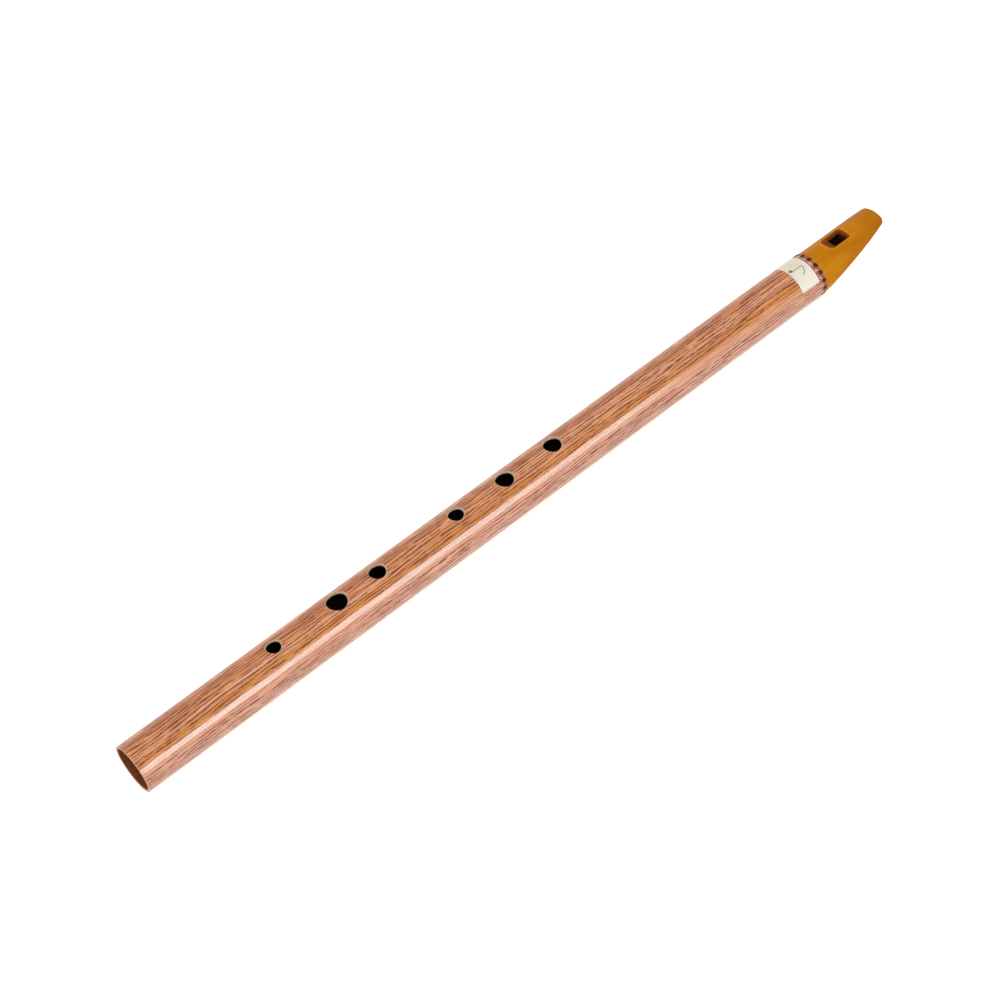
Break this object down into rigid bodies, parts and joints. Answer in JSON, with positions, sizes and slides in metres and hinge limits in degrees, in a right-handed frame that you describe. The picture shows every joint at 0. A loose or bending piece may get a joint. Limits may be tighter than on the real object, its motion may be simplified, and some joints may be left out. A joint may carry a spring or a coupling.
{
  "type": "tin whistle",
  "caption": "Low end-blown whistle: straight wood-grained tube with finger holes, paper label, and a turning, sliding wooden fipple head with a cut-away beak.",
  "frame": {"origin": "centre of the tube's open bell end, on the bore's axis", "axes": "+X along the tube from the bell end to the mouthpiece; +Z the way the finger holes face; +Y the side that the window leans to"},
  "size_m": [0.4804, 0.0251, 0.0251],
  "materials": {
    "tube_core": "satin",
    "wood_grain_film": "gloss",
    "label_paper": "matt",
    "head_wood": "satin lacquer",
    "block_wood": "matt",
    "seal_rubber": "matt"
  },
  "bodies": {
    "tube": {"body_tube": "tube_core", "wood_grain_wrap": "wood_grain_film", "key_label": "label_paper"},
    "seal_rings": {"seal_ring_inner": "seal_rubber", "seal_ring_outer": "seal_rubber"},
    "head": {"head_shell": "head_wood", "fipple_block": "block_wood"}
  },
  "joints": [
    {"name": "tuning_slide", "type": "slide", "parent": "tube", "child": "seal_rings", "axis": [1, 0, 0], "range_m": [0, 0.01]},
    {"name": "head_turn", "type": "hinge", "parent": "seal_rings", "child": "head", "pos_m": [0.432, 0, 0], "axis": [1, 0, 0], "continuous": true}
  ]
}
